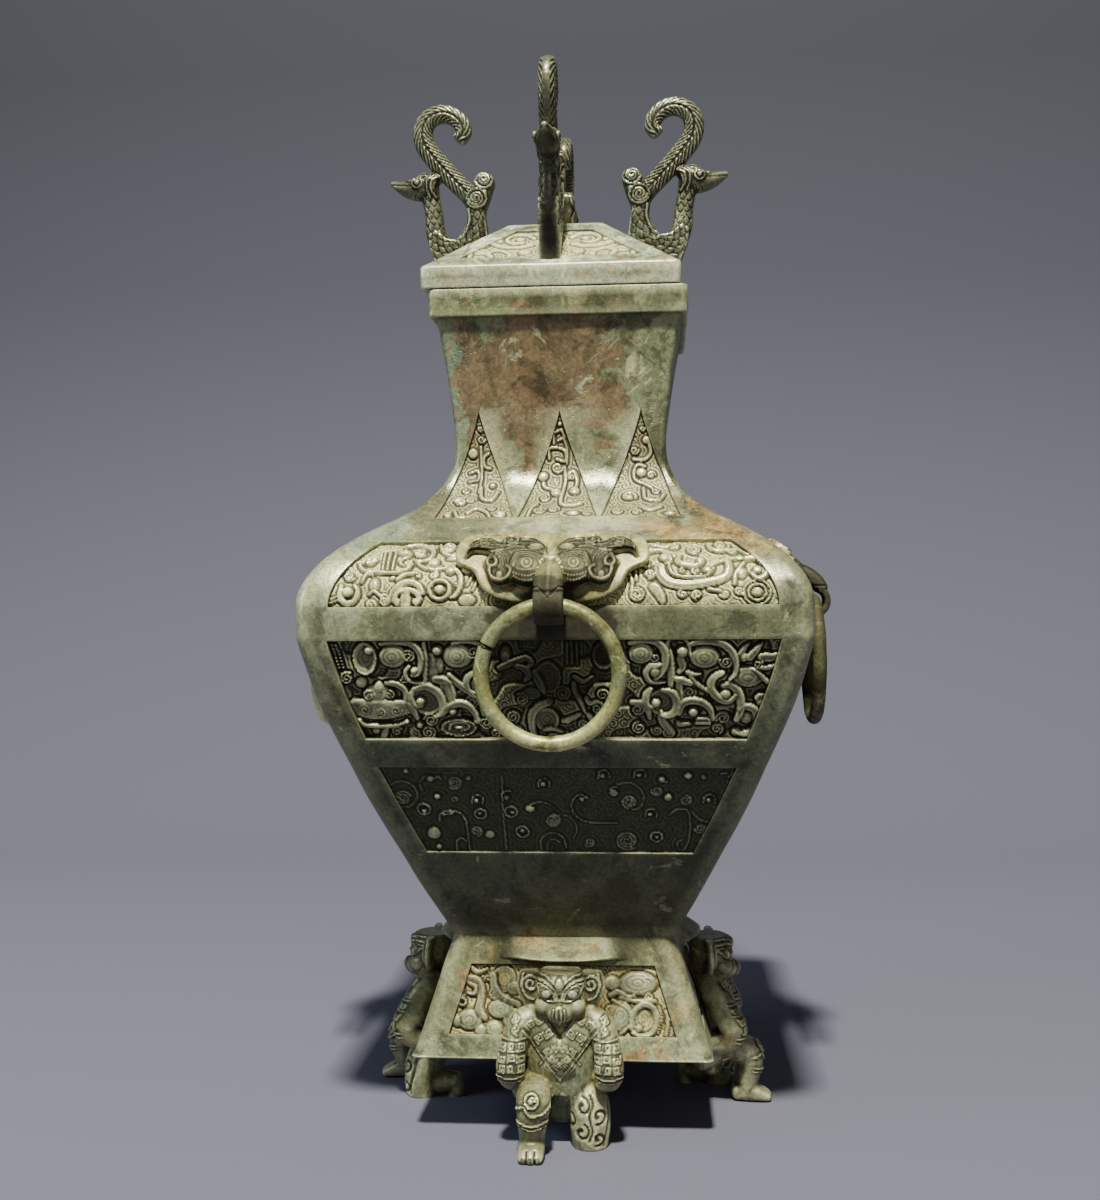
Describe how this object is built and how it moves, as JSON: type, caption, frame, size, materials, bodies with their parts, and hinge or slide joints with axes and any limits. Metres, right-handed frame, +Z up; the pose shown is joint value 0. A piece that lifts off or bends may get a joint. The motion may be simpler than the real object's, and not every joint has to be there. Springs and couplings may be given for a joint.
{
  "type": "lidded square bronze vase",
  "caption": "Lidded square vase of cast bronze, used as an incense burner, with bird finials on the lid, mask handles holding loose rings, and kneeling supporters.",
  "frame": {"origin": "on the floor, in the middle between the supporters", "axes": "+Z up; the front with the broken ring faces -Y; +X is to the right as seen from the front"},
  "size_m": [0.2576, 0.2576, 0.4925],
  "materials": {
    "green_bronze": "grey-green patina, low sheen on the smooth bands",
    "pale_bronze": "pale verdigris with sandy dirt in the hollows",
    "worn_bronze": "olive-tan bronze, worn smooth",
    "dark_bronze": "dark olive patina with yellowish dirt"
  },
  "bodies": {
    "vessel": {"vessel": "green_bronze", "lid": "pale_bronze", "bird_front": "pale_bronze", "bird_right": "pale_bronze", "bird_back": "pale_bronze", "bird_left": "pale_bronze", "mask_front": "worn_bronze", "mask_right": "worn_bronze", "mask_back": "worn_bronze", "mask_left": "worn_bronze", "figure_front": "dark_bronze", "figure_right": "dark_bronze", "figure_back": "dark_bronze", "figure_left": "dark_bronze"},
    "ring_front": {"ring_front": "worn_bronze"},
    "ring_right": {"ring_right": "worn_bronze"},
    "ring_back": {"ring_back": "worn_bronze"},
    "ring_left": {"ring_left": "worn_bronze"}
  },
  "joints": [
    {"name": "ring_front_swing", "type": "hinge", "parent": "vessel", "child": "ring_front", "pos_m": [0, -0.121, 0.2427], "axis": [-1, 0, 0], "range_deg": [-18, 184]},
    {"name": "ring_right_swing", "type": "hinge", "parent": "vessel", "child": "ring_right", "pos_m": [0.121, 0, 0.2427], "axis": [0, -1, 0], "range_deg": [-18, 184]},
    {"name": "ring_back_swing", "type": "hinge", "parent": "vessel", "child": "ring_back", "pos_m": [0, 0.121, 0.2427], "axis": [1, 0, 0], "range_deg": [-18, 184]},
    {"name": "ring_left_swing", "type": "hinge", "parent": "vessel", "child": "ring_left", "pos_m": [-0.121, 0, 0.2427], "axis": [0, 1, 0], "range_deg": [-18, 184]}
  ]
}
